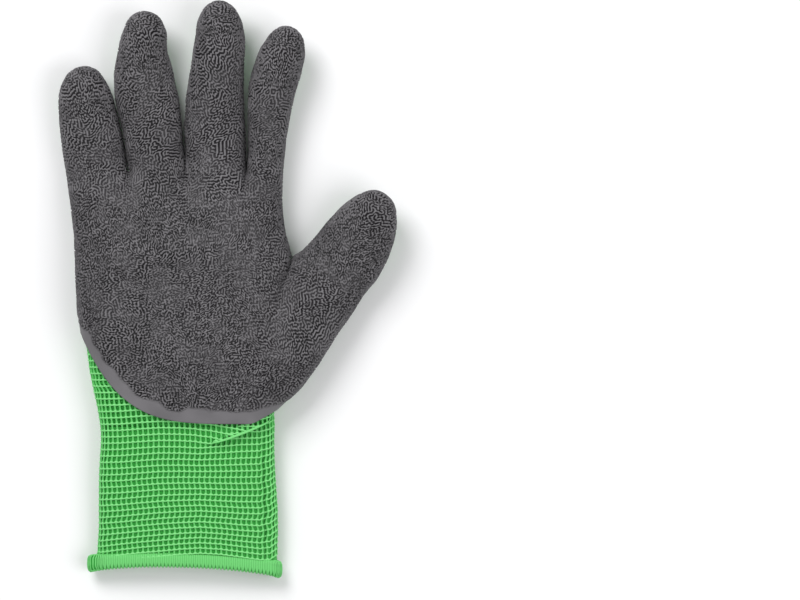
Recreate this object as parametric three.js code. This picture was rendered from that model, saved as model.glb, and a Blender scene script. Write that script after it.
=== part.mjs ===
// A knitted gardening glove for the right hand, its palm dipped in crinkled latex.
// It lies palm up on its back. Units are millimetres, +Z is up, the fingers point along +Y and
// the thumb towards +X. Every piece is a hollow wall, open from the cuff's mouth to the fingertips.
//
// One skin of quads is laid out first: the outside of the coating, carried on over the bare knit.
// Each piece is then a wall between two depths under that skin, so that the layers nest.

import * as THREE from 'three';

// Walls and clearances
const knitWall = 1.3;
const coatWall = 1.2;
const layerGap = 0.3;
const hemWall = 2.7;

// Hand, measured over the coating
const palmLength = 112;
const palmThickness = 27;
const backFlat = 2;

// Fingers: width and thickness at the root, length from the crotch, and how far the tip is raised
const littleWidth = 26.8;
const littleThickness = 19;
const littleLength = 44.4;
const littleLift = 5;
const ringWidth = 25.5;
const ringThickness = 20.5;
const ringLength = 65.2;
const ringLift = 7;
const middleWidth = 25.9;
const middleThickness = 21;
const middleLength = 69.6;
const middleLift = 8;
const indexWidth = 20.8;
const indexThickness = 20.5;
const indexLength = 61.1;
const indexLift = 8;
const thumbWidth = 31.9;
const thumbThickness = 23;
const thumbLength = 44.5;
const thumbLift = 8;

// Cuff and hem
const cuffLength = 52;
const cuffWidth = 78;
const cuffThickness = 20;
const cuffOffset = 5.7;
const hemHeight = 6.0;
const hemFlare = 0.2;
const hemDrop = 2.5;
const hemRise = 1.5;

// Folds pressed into the knit below the coating
const tuckHeight = 2.2;
const creaseDepth = 1.2;

// Mounds and hollows of the palm
const thumbRootHeight = 3.5;
const palmHollowDepth = 3.5;
const knucklePadHeight = 1.2;

// Turns rows of numbers under column names into a list of objects.
function table(columns, rows) {
  return rows.map((row) => Object.fromEntries(columns.map((name, i) => [name, row[i]])));
}

// Fingers from the outside of the hand inwards. A ring's columns are shares: along of the
// finger's length, shift and width of its width, depth of its thickness, rise of its tipLift.
const ringColumns = ['along', 'shift', 'width', 'depth', 'rise'];
const fingers = [
  {
    name: 'little', width: littleWidth, thickness: littleThickness, length: littleLength,
    tipLift: littleLift, lean: -7.9, baseWidth: 1.008,
    rings: table(ringColumns, [
      [0.10, -0.019, 0.968, 1.00, 0.02],
      [0.26, -0.016, 0.984, 1.00, 0.10],
      [0.49, -0.022, 0.944, 0.96, 0.32],
      [0.68, -0.027, 0.857, 0.90, 0.58],
      [0.83, -0.035, 0.730, 0.80, 0.80],
      [0.93, -0.012, 0.530, 0.60, 0.94],
      [0.98, -0.005, 0.290, 0.34, 0.99],
    ]),
  },
  {
    name: 'ring', width: ringWidth, thickness: ringThickness, length: ringLength,
    tipLift: ringLift, lean: -5.1, baseWidth: 0.942,
    rings: table(ringColumns, [
      [0.09, -0.013, 0.957, 1.00, 0.01],
      [0.24, -0.028, 0.990, 1.00, 0.06],
      [0.42, -0.072, 1.060, 0.98, 0.20],
      [0.61, -0.092, 0.980, 0.93, 0.42],
      [0.74, -0.078, 0.810, 0.88, 0.62],
      [0.86, -0.015, 0.750, 0.80, 0.82],
      [0.945, 0.005, 0.560, 0.60, 0.94],
      [0.985, 0.003, 0.310, 0.34, 0.99],
    ]),
  },
  {
    name: 'middle', width: middleWidth, thickness: middleThickness, length: middleLength,
    tipLift: middleLift, lean: 1.3, baseWidth: 1.008,
    rings: table(ringColumns, [
      [0.075, -0.010, 0.985, 1.00, 0.01],
      [0.22, -0.036, 1.000, 1.00, 0.06],
      [0.40, -0.046, 0.950, 0.96, 0.20],
      [0.58, -0.013, 0.877, 0.92, 0.40],
      [0.75, 0.024, 0.823, 0.86, 0.64],
      [0.88, 0.018, 0.713, 0.76, 0.86],
      [0.95, 0.008, 0.510, 0.56, 0.96],
      [0.985, 0.003, 0.280, 0.32, 0.99],
    ]),
  },
  {
    name: 'index', width: indexWidth, thickness: indexThickness, length: indexLength,
    tipLift: indexLift, lean: 9.5, baseWidth: 0.751,
    rings: table(ringColumns, [
      [0.07, -0.014, 0.730, 1.00, 0.01],
      [0.22, -0.065, 0.780, 1.00, 0.06],
      [0.38, -0.108, 0.865, 0.97, 0.20],
      [0.54, -0.130, 0.955, 0.93, 0.38],
      [0.68, -0.085, 0.980, 0.90, 0.58],
      [0.81, -0.030, 0.925, 0.82, 0.78],
      [0.92, 0.000, 0.710, 0.62, 0.94],
      [0.975, 0.000, 0.400, 0.34, 0.99],
    ]),
  },
];
const thumb = {
  name: 'thumb', width: thumbWidth, thickness: thumbThickness, length: thumbLength,
  tipLift: thumbLift, lean: 35.3,
  rings: table(ringColumns, [
    [0.10, 0.030, 1.015, 1.00, 0.03],
    [0.28, 0.060, 1.000, 0.99, 0.14],
    [0.48, 0.052, 0.955, 0.96, 0.34],
    [0.66, 0.038, 0.845, 0.90, 0.58],
    [0.81, 0.022, 0.680, 0.80, 0.78],
    [0.92, 0.008, 0.480, 0.60, 0.93],
    [0.975, 0.002, 0.270, 0.34, 0.98],
  ]),
};

// Sections of the hand from the wrist up. Columns ending in X are shares of the knuckle width from
// its middle, columns ending in Y are shares of palmLength. knee is the point below the thumb's
// crotch, and droop bows the section down towards its left end. top and edge are shares of
// palmThickness, and web and cleft say how far the thumb and the fingers have parted.
const palmSections = table(
  ['leftX', 'leftY', 'kneeX', 'kneeY', 'rightX', 'rightY', 'droop', 'top', 'edge', 'spread', 'web'],
  [
    [-0.376, 0.087, 0.343, 0.011, 0.485, 0.021, 4.3, 0.74, 0.37, 0.00, 0.00],
    [-0.412, 0.223, 0.352, 0.020, 0.483, 0.049, 4.3, 0.76, 0.38, 0.00, 0.00],
    [-0.434, 0.386, 0.361, 0.033, 0.476, 0.087, 4.3, 0.79, 0.40, 0.00, 0.00],
    [-0.443, 0.443, 0.389, 0.155, 0.581, 0.167, 4.0, 0.90, 0.43, 0.10, 0.00],
    [-0.448, 0.500, 0.421, 0.284, 0.669, 0.265, 3.0, 0.97, 0.44, 0.30, 0.02],
    [-0.452, 0.557, 0.457, 0.413, 0.738, 0.359, 2.2, 1.00, 0.44, 0.50, 0.12],
    [-0.454, 0.617, 0.499, 0.545, 0.799, 0.430, 1.5, 1.00, 0.43, 0.75, 0.40],
    [-0.457, 0.678, 0.540, 0.670, 0.845, 0.489, 1.0, 0.98, 0.42, 1.00, 1.00],
  ],
);
const coatEdgeSection = 3;
const knuckleSections = table(
  ['leftX', 'leftY', 'rightX', 'rightY', 'top', 'edge', 'spread', 'cleft'],
  [
    [-0.461, 0.754, 0.510, 0.754, 0.95, 0.41, 0.30, 0.00],
    [-0.471, 0.833, 0.497, 0.833, 0.91, 0.40, 0.55, 0.01],
    [-0.483, 0.905, 0.493, 0.905, 0.86, 0.39, 0.80, 0.16],
    [-0.492, 0.955, 0.495, 0.958, 0.81, 0.38, 0.95, 0.55],
  ],
);
const crotchY = [0.996, 0.996, 1.038, 0.996, 1.011];

// Cuff sections down from the wrist: down is a share of cuffLength, width and shift of cuffWidth,
// depth of cuffThickness.
const cuffSections = table(
  ['down', 'width', 'shift', 'depth'],
  [
    [0.00, 1.000, 0.000, 0.98],
    [0.12, 1.004, -0.002, 0.95],
    [0.27, 1.016, -0.004, 0.90],
    [0.42, 1.026, -0.002, 0.86],
    [0.60, 1.037, 0.002, 0.82],
    [0.78, 1.040, 0.003, 0.78],
    [0.92, 1.044, -0.002, 0.74],
    [1.00, 1.046, -0.006, 0.71],
  ],
);
const hemSpread = { width: 1.082, shift: -0.018, depth: 0.68 };
const kneeShare = 0.807;

// How the sections curve: 2 is an ellipse, more is fuller.
const palmFullness = 2.5;
const cuffFullness = 2.8;
const backFullness = 1.3;

// Columns of the skin
const fingerColumns = 6;
const palmColumns = fingers.length * fingerColumns;
const handColumns = palmColumns + fingerColumns;
const edgeCrowding = 0.5;

// Worked out from the sizes above
const skinToKnit = coatWall + layerGap;
const floorOfSkin = -skinToKnit;
const baseWidths = fingers.map((finger) => finger.width * finger.baseWidth);
const knuckleWidth = baseWidths.reduce((sum, width) => sum + width, 0);

function mix(from, to, share) {
  return from + (to - from) * share;
}

function arch(share, fullness) {
  const away = Math.min(1, Math.abs(2 * share - 1));
  return (1 - away ** fullness) ** (1 / fullness);
}

// Shares of the way across at column i of count, crowded towards both ends, or one end only.
function crowdedBoth(i, count, crowding) {
  return mix(i / count, (1 - Math.cos((Math.PI * i) / count)) / 2, crowding);
}
function crowdedStart(i, count, crowding) {
  return mix(i / count, 1 - Math.cos((Math.PI * i) / count / 2), crowding);
}
function crowdedEnd(i, count, crowding) {
  return 1 - crowdedStart(count - i, count, crowding);
}

// Half height and middle height of a finger that lies on the floor, its back pressed flat.
function lyingHeights(finger) {
  const half = (finger.thickness - floorOfSkin + backFlat) / 2;
  return { half, middle: finger.thickness - half };
}

// Bumps on the palm side: x and y are shares of knuckleWidth and palmLength, and so are the radii.
const mounds = table(
  ['x', 'y', 'radiusX', 'radiusY', 'height'],
  [
    [0.52, 0.36, 0.24, 0.22, thumbRootHeight],
    [-0.30, 0.38, 0.18, 0.26, thumbRootHeight * 0.5],
    [0.04, 0.52, 0.26, 0.24, -palmHollowDepth],
    [-0.34, 0.88, 0.11, 0.09, knucklePadHeight],
    [-0.08, 0.92, 0.11, 0.09, knucklePadHeight],
    [0.18, 0.92, 0.11, 0.09, knucklePadHeight],
    [0.42, 0.88, 0.09, 0.09, knucklePadHeight],
  ],
);

function moundHeight(x, y) {
  return mounds.reduce((sum, mound) => {
    const across = (x / knuckleWidth - mound.x) / mound.radiusX;
    const along = (y / palmLength - mound.y) / mound.radiusY;
    return sum + mound.height * Math.exp(-across * across - along * along);
  }, 0);
}

// Folds in the knit: x, length and width are shares of cuffWidth from the cuff's middle line, and
// y of cuffLength from the wrist. angle is in degrees from +X.
const folds = table(
  ['x', 'y', 'angle', 'length', 'width', 'height'],
  [
    [0.27, 0.00, 21, 0.20, 0.045, tuckHeight],
    [0.30, -0.09, 21, 0.22, 0.045, -tuckHeight * 0.6],
    [0.41, -0.55, 90, 0.34, 0.035, -creaseDepth],
    [-0.20, -0.50, 84, 0.24, 0.090, -creaseDepth * 0.5],
  ],
);

function foldHeight(x, y) {
  return folds.reduce((sum, fold) => {
    const angle = THREE.MathUtils.degToRad(fold.angle);
    const dx = x - cuffOffset - fold.x * cuffWidth;
    const dy = y - fold.y * cuffLength;
    const along = (dx * Math.cos(angle) + dy * Math.sin(angle)) / (fold.length * cuffWidth);
    const across = (dy * Math.cos(angle) - dx * Math.sin(angle)) / (fold.width * cuffWidth);
    return sum + fold.height * Math.exp(-(along ** 4) - across * across);
  }, 0);
}

// The cuff's end isn't straight: it hangs lower towards the thumb's side.
function hemWave(share) {
  return hemRise * Math.sin(Math.PI * share) - hemDrop * share * share;
}

// The skin: points, and quads that remember the strip they belong to.
const points = [];
const faces = [];

function addPoint(x, y, z) {
  points.push(new THREE.Vector3(x, y, Math.max(z, floorOfSkin)));
  return points.length - 1;
}

// A strip of faces between two rows, each { top: [...], bottom: [...] } of point numbers.
function addStrip(part, band, lower, upper, first, last) {
  for (let i = first; i < last; i++) {
    const above = [lower.top[i], lower.top[i + 1], upper.top[i + 1], upper.top[i]];
    const below = [lower.bottom[i + 1], lower.bottom[i], upper.bottom[i], upper.bottom[i + 1]];
    faces.push({ part, band, column: i - first, columns: last - first, side: 'top', corners: above });
    faces.push({ part, band, column: i - first, columns: last - first, side: 'bottom', corners: below });
  }
}

// A row of the hand: place(i) gives a column's { x, y, backY, top, bottom }, and the columns in
// closed have one point for both sides.
function addRow(columns, closed, place) {
  const row = { top: [], bottom: [] };
  for (let i = 0; i <= columns; i++) {
    const at = place(i);
    const top = addPoint(at.x, at.y, at.top);
    row.top.push(top);
    row.bottom.push(closed.includes(i) ? top : addPoint(at.x, at.backY, at.bottom));
  }
  return row;
}

function wideHeights(share, top, edge, fullness) {
  const rise = arch(share, fullness);
  return {
    top: mix(edge, top, rise),
    bottom: mix(edge, floorOfSkin, Math.min(1, rise * backFullness)),
  };
}

// A row of the cuff, from one side round to the other.
function cuffRow(section) {
  const width = section.width * cuffWidth;
  const middle = cuffOffset + section.shift * cuffWidth;
  const top = section.depth * cuffThickness;
  return addRow(handColumns, [0, handColumns], (i) => {
    const share = i <= palmColumns
      ? kneeShare * crowdedStart(i, palmColumns, edgeCrowding)
      : mix(kneeShare, 1, crowdedEnd(i - palmColumns, fingerColumns, edgeCrowding));
    const x = middle + width * (share - 0.5);
    const y = -section.down * cuffLength + hemWave(share) * section.down ** 2;
    const heights = wideHeights(share, top, top * 0.5, cuffFullness);
    const fold = foldHeight(x, y) * arch(share, 2);
    return { x, y, backY: y, top: heights.top + fold, bottom: heights.bottom };
  });
}

// A row of the lower palm, which is one tube with the root of the thumb.
function palmRow(section) {
  const left = [section.leftX * knuckleWidth, section.leftY * palmLength];
  const knee = [section.kneeX * knuckleWidth, section.kneeY * palmLength];
  const right = [section.rightX * knuckleWidth, section.rightY * palmLength];
  const palmSpan = Math.hypot(knee[0] - left[0], knee[1] - left[1]);
  const thumbSpan = Math.hypot(right[0] - knee[0], right[1] - knee[1]);
  const top = section.top * palmThickness;
  const edge = section.edge * palmThickness;
  const root = lyingHeights(thumb);
  const closed = section.web === 1 ? [0, palmColumns, handColumns] : [0, handColumns];
  return addRow(handColumns, closed, (i) => {
    const inThumb = i > palmColumns;
    const count = inThumb ? fingerColumns : palmColumns;
    const step = inThumb ? i - palmColumns : i;
    const open = inThumb ? crowdedEnd(step, count, edgeCrowding) : crowdedStart(step, count, edgeCrowding);
    const parted = crowdedBoth(step, count, inThumb ? 1 : edgeCrowding);
    const part = mix(open, parted, section.spread);
    const [from, to] = inThumb ? [knee, right] : [left, knee];
    const x = mix(from[0], to[0], part);
    const backY = mix(from[1], to[1], part);
    const y = inThumb ? backY : mix(from[1], to[1], 1 - (1 - part) ** section.droop);
    const share = (inThumb ? palmSpan + thumbSpan * part : palmSpan * part) / (palmSpan + thumbSpan);
    const together = wideHeights(share, top, edge, palmFullness);
    const bend = arch(part, 2);
    const apart = inThumb
      ? { top: root.middle + root.half * bend, bottom: root.middle - root.half * bend }
      : wideHeights(part, top, i === palmColumns ? root.middle : edge, palmFullness);
    const relief = (moundHeight(x, y) + foldHeight(x, y)) * arch(share, 2);
    return {
      x,
      y,
      backY,
      top: mix(together.top + relief, apart.top, section.web),
      bottom: mix(together.bottom, apart.bottom, section.web),
    };
  });
}

// Shares across the knuckles at which each finger begins, and the finger at a column.
const clefts = baseWidths.reduce((list, width) => [...list, list[list.length - 1] + width / knuckleWidth], [0]);
const cleftColumns = clefts.map((_, g) => g * fingerColumns);
const lying = fingers.map(lyingHeights);

function fingerPlace(i) {
  const finger = Math.min(Math.floor(i / fingerColumns), fingers.length - 1);
  const angle = (Math.PI * (i - finger * fingerColumns)) / fingerColumns;
  const share = mix(clefts[finger], clefts[finger + 1], (1 - Math.cos(angle)) / 2);
  const neighbour = Math.max(0, finger - (i % fingerColumns === 0 ? 1 : 0));
  const middle = (lying[finger].middle + lying[neighbour].middle) / 2;
  const reach = lying[finger].half * Math.sin(angle);
  return { share, finger, top: middle + reach, bottom: middle - reach };
}

// A row between the thumb's crotch and the fingers.
function knuckleRow(section) {
  const left = [section.leftX * knuckleWidth, section.leftY * palmLength];
  const right = [section.rightX * knuckleWidth, section.rightY * palmLength];
  const top = section.top * palmThickness;
  const edge = section.edge * palmThickness;
  return addRow(palmColumns, [0, palmColumns], (i) => {
    const parted = fingerPlace(i);
    const share = mix(crowdedBoth(i, palmColumns, edgeCrowding), parted.share, section.spread);
    const x = mix(left[0], right[0], share);
    const y = mix(left[1], right[1], share);
    const together = wideHeights(share, top, edge, palmFullness);
    const relief = moundHeight(x, y) * arch(share, 2);
    return {
      x,
      y,
      backY: y,
      top: mix(together.top + relief, parted.top, section.cleft),
      bottom: mix(together.bottom, parted.bottom, section.cleft),
    };
  });
}

// The row through the finger crotches, where each finger's tube begins.
function crotchRow() {
  return addRow(palmColumns, cleftColumns, (i) => {
    const parted = fingerPlace(i);
    const step = (parted.share - clefts[parted.finger]) / (clefts[parted.finger + 1] - clefts[parted.finger]);
    const y = mix(crotchY[parted.finger], crotchY[parted.finger + 1], step) * palmLength;
    const x = (parted.share - 0.5) * knuckleWidth;
    return { x, y, backY: y, top: parted.top, bottom: parted.bottom };
  });
}

// A finger's rings and tip. start is its root, a stretch of a palm row from column first on.
function addFinger(finger, start, first) {
  const root = {
    top: start.top.slice(first, first + fingerColumns + 1),
    bottom: start.bottom.slice(first, first + fingerColumns + 1),
  };
  const base = points[root.top[0]].clone().lerp(points[root.top[fingerColumns]], 0.5);
  const lean = THREE.MathUtils.degToRad(finger.lean);
  const ahead = new THREE.Vector2(Math.sin(lean), Math.cos(lean));
  const aside = new THREE.Vector2(ahead.y, -ahead.x);
  const { half, middle } = lyingHeights(finger);
  const rows = [root];
  for (const ring of finger.rings) {
    const centre = new THREE.Vector2(base.x, base.y)
      .addScaledVector(ahead, ring.along * finger.length)
      .addScaledVector(aside, ring.shift * finger.width);
    const height = middle + ring.rise * finger.tipLift;
    rows.push(addRow(fingerColumns, [0, fingerColumns], (i) => {
      const angle = (Math.PI * i) / fingerColumns;
      const out = (-Math.cos(angle) * ring.width * finger.width) / 2;
      const reach = Math.sin(angle) * half * ring.depth;
      const x = centre.x + aside.x * out;
      const y = centre.y + aside.y * out;
      return { x, y, backY: y, top: height + reach, bottom: height - reach };
    }));
  }
  rows.slice(1).forEach((row, r) => addStrip(finger.name, r, rows[r], row, 0, fingerColumns));
  const tip = addPoint(
    base.x + ahead.x * finger.length,
    base.y + ahead.y * finger.length,
    middle + finger.tipLift,
  );
  const end = rows[rows.length - 1];
  for (let i = 0; i < fingerColumns; i++) {
    const shared = { part: finger.name, band: rows.length - 1, column: i, columns: fingerColumns };
    faces.push({ ...shared, side: 'top', corners: [end.top[i], end.top[i + 1], tip] });
    faces.push({ ...shared, side: 'bottom', corners: [end.bottom[i + 1], end.bottom[i], tip] });
  }
  return rows;
}

// Lays out the whole skin and keeps the rows that the pieces are parted at.
const cuffRows = cuffSections.map(cuffRow);
const palmRows = [cuffRows[0], ...palmSections.map(palmRow)];
const webRow = palmRows[palmRows.length - 1];
const knuckleRows = [webRow, ...knuckleSections.map(knuckleRow), crotchRow()];
const rootRow = knuckleRows[knuckleRows.length - 1];

cuffRows.slice(1).forEach((row, r) => addStrip('cuff', r, row, cuffRows[r], 0, handColumns));
palmRows.slice(1).forEach((row, r) => addStrip('palm', r, palmRows[r], row, 0, handColumns));
knuckleRows.slice(1).forEach((row, r) => addStrip('knuckles', r, knuckleRows[r], row, 0, palmColumns));
const fingerRows = fingers.map((finger, g) => addFinger(finger, rootRow, g * fingerColumns));
const thumbRows = addFinger(thumb, webRow, palmColumns);

// Splits a face along its shorter diagonal, the same way at every depth.
function triangles(corners) {
  if (corners.length === 3) return [corners];
  const [a, b, c, d] = corners;
  return points[a].distanceTo(points[c]) <= points[b].distanceTo(points[d])
    ? [[a, b, c], [a, c, d]]
    : [[a, b, d], [b, c, d]];
}

const normals = points.map(() => new THREE.Vector3());
for (const face of faces) {
  for (const [a, b, c] of triangles(face.corners)) {
    const normal = points[b].clone().sub(points[a]).cross(points[c].clone().sub(points[a]));
    [a, b, c].forEach((point) => normals[point].add(normal));
  }
}
cuffRows.at(-1).top.concat(cuffRows.at(-1).bottom).forEach((point) => normals[point].setY(0));
normals.forEach((normal) => normal.normalize());

// A point at a depth under the skin. Nothing goes under the floor, and on the floor the knit
// keeps its wall.
function under(point, depth) {
  const at = points[point].clone().addScaledVector(normals[point], -depth);
  at.z = Math.max(at.z, depth + floorOfSkin);
  return at;
}

// A wall between two depths, over the chosen faces. pulls moves the points of a cut end towards
// the next row, by the gap to the neighbouring piece.
function wall(chosen, outerDepth, innerDepth, pulls = new Map()) {
  const numbers = new Map();
  const place = (point, depth) => {
    const at = under(point, depth);
    if (!pulls.has(point)) return at;
    const towards = under(pulls.get(point), depth).sub(at);
    return at.addScaledVector(towards.normalize(), layerGap);
  };
  const outer = [];
  const inner = [];
  const number = (point) => {
    if (!numbers.has(point)) {
      numbers.set(point, numbers.size);
      outer.push(place(point, outerDepth));
      inner.push(place(point, innerDepth));
    }
    return numbers.get(point);
  };
  const outside = chosen.flatMap((face) => triangles(face.corners)).map((corners) => corners.map(number));
  const count = numbers.size;
  const edges = new Set(outside.flatMap(([a, b, c]) => [`${a},${b}`, `${b},${c}`, `${c},${a}`]));
  const indices = [];
  for (const [a, b, c] of outside) {
    indices.push(a, b, c, c + count, b + count, a + count);
    for (const [from, to] of [[a, b], [b, c], [c, a]]) {
      if (!edges.has(`${to},${from}`)) {
        indices.push(to, from, from + count, to, from + count, to + count);
      }
    }
  }
  return new THREE.BufferGeometry()
    .setFromPoints([...outer, ...inner])
    .setIndex(indices);
}

// Pairs the points of a cut row with those of the next row.
function pullsBetween(row, next) {
  const pairs = new Map();
  row.top.forEach((point, i) => pairs.set(point, next.top[i]));
  row.bottom.forEach((point, i) => pairs.set(point, next.bottom[i]));
  return pairs;
}

// The hem: overlocked thread wound round the cuff's end, a flat roll that is closed on itself.
function hemGeometry() {
  const end = cuffRows[cuffRows.length - 1];
  const spread = cuffRow({ down: 1, ...hemSpread });
  const loop = [...spread.top, ...spread.bottom.slice(1, -1).reverse()];
  const ends = [...end.top, ...end.bottom.slice(1, -1).reverse()];
  const section = table(
    ['out', 'down'],
    [[-0.28, 0], [0.28, 0], [0.5, 0.22], [0.5, 0.74], [0.26, 1], [-0.26, 1], [-0.5, 0.74], [-0.5, 0.22]],
  );
  const middleDepth = skinToKnit + knitWall / 2;
  const left = points[spread.top[0]].x;
  const width = points[spread.top[handColumns]].x - left;
  const positions = loop.flatMap((point, k) => {
    const before = points[loop[(k + loop.length - 1) % loop.length]];
    const after = points[loop[(k + 1) % loop.length]];
    const out = new THREE.Vector3(before.z - after.z, 0, after.x - before.x).normalize();
    const middle = points[point].clone().addScaledVector(out, -middleDepth);
    const start = points[ends[k]].y - layerGap;
    const sideways = (2 * (points[point].x - left)) / width - 1;
    const height = hemHeight * (1 + hemFlare * sideways ** 4);
    return section.map((corner) => {
      const at = middle.clone().addScaledVector(out, corner.out * hemWall);
      return new THREE.Vector3(at.x, start - corner.down * height, Math.max(at.z, corner.out < 0 ? knitWall : 0));
    });
  });
  const sides = section.length;
  const indices = loop.flatMap((_, k) => section.flatMap((__, s) => {
    const here = k * sides;
    const next = ((k + 1) % loop.length) * sides;
    const t = (s + 1) % sides;
    return [here + s, here + t, next + t, here + s, next + t, next + s];
  }));
  return new THREE.BufferGeometry().setFromPoints(positions).setIndex(indices);
}

// Which faces each piece covers. The palm's knit keeps a stub of every finger, so that the
// crotches are whole, and each finger's own tube starts above its stub.
const knitOuter = skinToKnit;
const knitInner = skinToKnit + knitWall;
const isPalmKnit = (face) => ['palm', 'knuckles'].includes(face.part) || (face.part !== 'cuff' && face.band === 0);
const isTube = (name) => (face) => face.part === name && face.band > 0;

// The coating covers the palm side, laps one column round each side, and hoods the fingertips.
function isCoated(face) {
  if (face.part === 'cuff' || (face.part === 'palm' && face.band < coatEdgeSection)) return false;
  if (face.side === 'top') return true;
  if (face.part === 'palm') return face.column === 0 || face.column === face.columns - 1;
  const inWeb = face.part === 'knuckles' && face.band === knuckleRows.length - 2;
  const column = inWeb ? face.column % fingerColumns : face.column;
  const columns = inWeb ? fingerColumns : face.columns;
  if (column === 0 || column === columns - 1) return true;
  const owner = [...fingers, thumb].find((finger) => finger.name === face.part);
  return owner !== undefined && face.band >= owner.rings.length - 2;
}

const green = new THREE.Color(0.2, 0.62, 0.2);
const knitMaterial = new THREE.MeshStandardMaterial({ color: green, roughness: 0.85, metalness: 0 });
const elasticMaterial = new THREE.MeshStandardMaterial({ color: 0x5fc862, roughness: 0.8, metalness: 0 });
const threadMaterial = new THREE.MeshStandardMaterial({ color: 0x58cc55, roughness: 0.7, metalness: 0 });
const latexMaterial = new THREE.MeshStandardMaterial({ color: 0x58585a, roughness: 0.75, metalness: 0 });

const glove = new THREE.Group();
function addMesh(name, geometry, material) {
  geometry.computeVertexNormals();
  const mesh = new THREE.Mesh(geometry, material);
  mesh.name = name;
  glove.add(mesh);
}

addMesh('knit_palm', wall(faces.filter(isPalmKnit), knitOuter, knitInner), knitMaterial);
[...fingers, thumb].forEach((finger, f) => {
  const rows = f < fingers.length ? fingerRows[f] : thumbRows;
  const pulls = pullsBetween(rows[1], rows[2]);
  const tube = wall(faces.filter(isTube(finger.name)), knitOuter, knitInner, pulls);
  addMesh(`knit_${finger.name}`, tube, knitMaterial);
});
const isCuff = (face) => face.part === 'cuff';
const cuffPulls = pullsBetween(cuffRows[0], cuffRows[1]);
addMesh('knit_cuff', wall(faces.filter(isCuff), knitOuter, knitInner, cuffPulls), elasticMaterial);
addMesh('cuff_hem', hemGeometry(), threadMaterial);
addMesh('latex_coat', wall(faces.filter(isCoated), 0, coatWall), latexMaterial);

// The origin is under the middle of the glove, on the surface that it lies on.
const bounds = new THREE.Box3().setFromObject(glove);
const middle = bounds.getCenter(new THREE.Vector3());
glove.position.set(-middle.x, -middle.y, -bounds.min.z);

export default glove;
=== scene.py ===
"""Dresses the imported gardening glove: crinkled latex, open green knit, overlocked hem, and the stage."""

import math

import bmesh
import bpy
import numpy as np
from bpy.props import FloatProperty, FloatVectorProperty, IntProperty, PointerProperty
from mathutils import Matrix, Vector
from mathutils.bvhtree import BVHTree
from mathutils.kdtree import KDTree


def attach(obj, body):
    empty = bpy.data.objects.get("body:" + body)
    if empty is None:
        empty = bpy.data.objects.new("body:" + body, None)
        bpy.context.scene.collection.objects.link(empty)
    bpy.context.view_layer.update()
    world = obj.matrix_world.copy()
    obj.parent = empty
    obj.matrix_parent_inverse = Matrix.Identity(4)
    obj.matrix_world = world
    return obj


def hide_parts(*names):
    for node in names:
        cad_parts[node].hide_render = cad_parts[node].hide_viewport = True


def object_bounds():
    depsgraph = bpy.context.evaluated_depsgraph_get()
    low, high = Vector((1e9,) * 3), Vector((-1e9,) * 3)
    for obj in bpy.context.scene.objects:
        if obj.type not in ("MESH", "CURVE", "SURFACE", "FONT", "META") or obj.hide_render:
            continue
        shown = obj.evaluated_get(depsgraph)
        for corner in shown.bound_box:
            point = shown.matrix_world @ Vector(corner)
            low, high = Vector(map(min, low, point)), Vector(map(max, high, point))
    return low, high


bl_info = {
    "name": "Gardening glove",
    "version": (1, 0, 0),
    "blender": (4, 5, 0),
    "location": "3D View > Sidebar > Glove",
    "description": "Latex, knit, hem and studio for a gardening glove",
    "category": "Object",
}

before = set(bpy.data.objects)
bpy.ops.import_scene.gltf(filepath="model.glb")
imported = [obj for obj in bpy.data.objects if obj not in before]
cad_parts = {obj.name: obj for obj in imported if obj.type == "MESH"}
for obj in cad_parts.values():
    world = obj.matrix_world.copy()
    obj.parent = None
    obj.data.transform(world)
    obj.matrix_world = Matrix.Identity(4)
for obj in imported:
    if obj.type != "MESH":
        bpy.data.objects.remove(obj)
CAD_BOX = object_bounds()

MM = 0.001
LINER_NODES = [f"knit_{name}" for name in ("palm", "little", "ring", "middle", "index", "thumb")]

# Photograph: its frame, its scale, and the pixel that the glove's middle lies on
PHOTO_SIZE = (800, 600)
PHOTO_PIXEL = 0.4246 * MM
PHOTO_MIDDLE = (227.5, 289.5)

# The knit, from one wale to the next and from one course to the next
WALE = 2.1 * MM
COURSE = 2.5 * MM

# The way along the glove from the cuff to the fingers
UPWARD = (0.0, 1.0, 0.0)


def photo_point(px, py):
    """The place on the floor, in metres, that a pixel of the photograph shows."""
    return Vector(((px - PHOTO_MIDDLE[0]) * PHOTO_PIXEL, (PHOTO_MIDDLE[1] - py) * PHOTO_PIXEL, 0.0))


def smooth_step(low, high, value):
    """0 up to low, 1 from high on, and a soft slope between them."""
    share = np.clip((value - low) / (high - low), 0.0, 1.0)
    return share * share * (3.0 - 2.0 * share)


class LatexSettings(bpy.types.PropertyGroup):
    """Sizes and colours of the latex coat."""

    edge: FloatProperty(
        name="Mesh edge", description="Length of the coat's mesh edges", default=0.425 * MM, unit="LENGTH"
    )
    spacing: FloatProperty(
        name="Crinkle spacing", description="From one crinkle to the next", default=1.5 * MM, unit="LENGTH"
    )
    depth: FloatProperty(
        name="Crinkle depth", description="From ridge to groove", default=0.85 * MM, unit="LENGTH"
    )
    margin: FloatProperty(
        name="Margin", description="Width of the band at the lower edge", default=4.6 * MM, unit="LENGTH"
    )
    cut: FloatProperty(
        name="Cut", description="Where one piece of the coat meets the other", default=40 * MM, unit="LENGTH"
    )
    colour: FloatVectorProperty(
        name="Latex", description="Colour of the ridges", subtype="COLOR", default=(0.098, 0.094, 0.1)
    )
    # Painted shade: the groove colour darkens the crinkles' grooves for the shadow that falls in them
    groove: FloatVectorProperty(
        name="Groove", description="Colour in the grooves", subtype="COLOR", default=(0.008, 0.007, 0.009)
    )


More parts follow.
